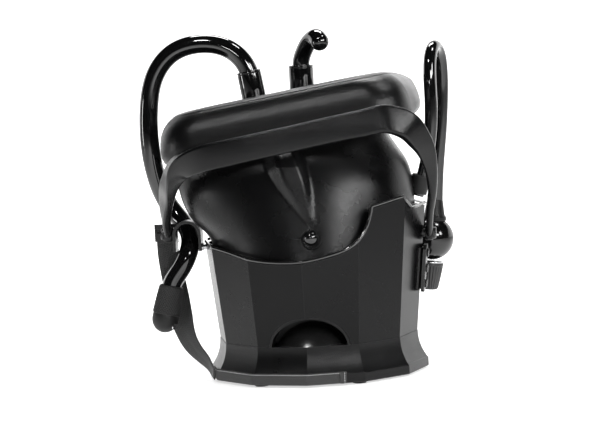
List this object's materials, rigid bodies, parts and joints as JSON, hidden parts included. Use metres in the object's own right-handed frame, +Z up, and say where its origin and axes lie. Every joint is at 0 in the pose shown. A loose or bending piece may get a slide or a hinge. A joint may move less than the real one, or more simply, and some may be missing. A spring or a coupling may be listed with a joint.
{
  "type": "sous vide circulator",
  "caption": "Countertop sous vide circulator: faceted vessel, leaning head, swinging bail handle, bent outlet and vent pipes, fluted valve knob and webbing strap.",
  "frame": {"origin": "centre of the faceted base on the floor plane", "axes": "+Z up, front (arched outlet and push stud) toward -Y, +X to the right seen from the front"},
  "size_m": [0.2833, 0.2111, 0.3133],
  "materials": {
    "base_plastic": "fine leather grain",
    "cover_plastic": "plain",
    "screw_steel": "zinc plated",
    "foot_rubber": "soft",
    "wall_plastic": "smooth satin",
    "rim_plastic": "polished edge",
    "inner_plastic": "plain",
    "dome_plastic": "polished",
    "hood_plastic": "fine leather grain",
    "head_plastic": "fine leather grain",
    "seal_rubber": "soft",
    "collar_metal": "gloss black",
    "pipe_metal": "gloss black",
    "grip_rubber": "cross knurled",
    "bright_metal": "polished",
    "port_rubber": "soft",
    "ball_plastic": "polished",
    "knob_plastic": "fluted",
    "bracket_metal": "satin black",
    "dark_screw": "black oxide",
    "bail_plastic": "fine leather grain",
    "bright_pin": "brushed",
    "webbing": "woven",
    "stud_plastic": "polished",
    "pump_plastic": "moulded",
    "impeller_plastic": "moulded",
    "shaft_steel": "ground",
    "motor_steel": "plated",
    "mount_aluminium": "cast",
    "coil_steel": "stainless",
    "board_green": "printed board",
    "relay_plastic": "plain",
    "inlet_plastic": "plain"
  },
  "bodies": {
    "base": {"foot_shell": "base_plastic", "bottom_cover": "cover_plastic", "bottom_screws": "screw_steel", "rubber_feet": "foot_rubber", "vessel_wall": "wall_plastic", "rim_bead": "rim_plastic", "arch_liner": "inner_plastic", "outlet_dome": "dome_plastic", "hood_shell": "hood_plastic", "head_cover": "head_plastic", "head_tray": "head_plastic", "head_seal": "seal_rubber", "head_screws": "screw_steel", "left_collar": "collar_metal", "spout_collar": "collar_metal", "left_pipe": "pipe_metal", "right_pipe": "pipe_metal", "rim_port": "port_rubber", "valve_ball": "ball_plastic", "pipe_boot": "port_rubber", "valve_mount": "wall_plastic", "valve_ring": "bright_metal", "right_bracket": "bracket_metal", "bracket_spacer": "seal_rubber", "bracket_screws": "dark_screw", "left_pivot_pin": "dark_screw", "right_pivot_pin": "dark_screw", "pipe_eye": "bracket_metal", "eye_pin": "bright_pin", "strap_clip": "bracket_metal", "strap_hanging": "webbing", "strap_band": "webbing", "strap_stop": "webbing", "stud_bezel": "hood_plastic", "stud_guide": "seal_rubber", "switch_block": "inner_plastic", "pump_volute": "pump_plastic", "motor": "motor_steel", "shaft_seal": "seal_rubber", "motor_mount": "mount_aluminium", "heater_coil": "coil_steel", "temperature_probe": "coil_steel", "control_board": "board_green", "relay_block": "relay_plastic", "power_inlet": "inlet_plastic"},
    "bail": {"bail": "bail_plastic"},
    "stud": {"push_stud": "stud_plastic"},
    "knob": {"fluted_knob": "knob_plastic"},
    "nozzle": {"nozzle_grip": "grip_rubber", "nozzle_tip": "grip_rubber", "outlet_ferrule": "bright_metal"},
    "spout": {"hook_spout": "pipe_metal"},
    "rotor": {"impeller": "impeller_plastic", "motor_shaft": "shaft_steel"}
  },
  "joints": [
    {"name": "bail_swing", "type": "hinge", "parent": "base", "child": "bail", "pos_m": [-0.0139, 0, 0.128], "axis": [0.9994, 0, -0.0333], "range_deg": [0, 40]},
    {"name": "stud_press", "type": "slide", "parent": "base", "child": "stud", "axis": [0, 0.9511, -0.309], "range_m": [0, 0.0018], "stiffness_N_per_m": 500, "springref_m": -0.001},
    {"name": "knob_turn", "type": "hinge", "parent": "base", "child": "knob", "pos_m": [0.1035, 0.066, 0.112], "axis": [-0.1191, 0, -0.9929], "range_deg": [-135, 135]},
    {"name": "nozzle_turn", "type": "hinge", "parent": "base", "child": "nozzle", "pos_m": [-0.133, -0.0044, 0.085], "axis": [-0.2293, -0.0939, -0.9688], "range_deg": [-170, 170]},
    {"name": "spout_swivel", "type": "hinge", "parent": "base", "child": "spout", "pos_m": [-0.0085, 0.04, 0.264], "axis": [0, 0, 1], "range_deg": [-90, 90]},
    {"name": "impeller_spin", "type": "hinge", "parent": "base", "child": "rotor", "pos_m": [0, 0, 0.03], "axis": [0, 0, 1], "continuous": true}
  ]
}
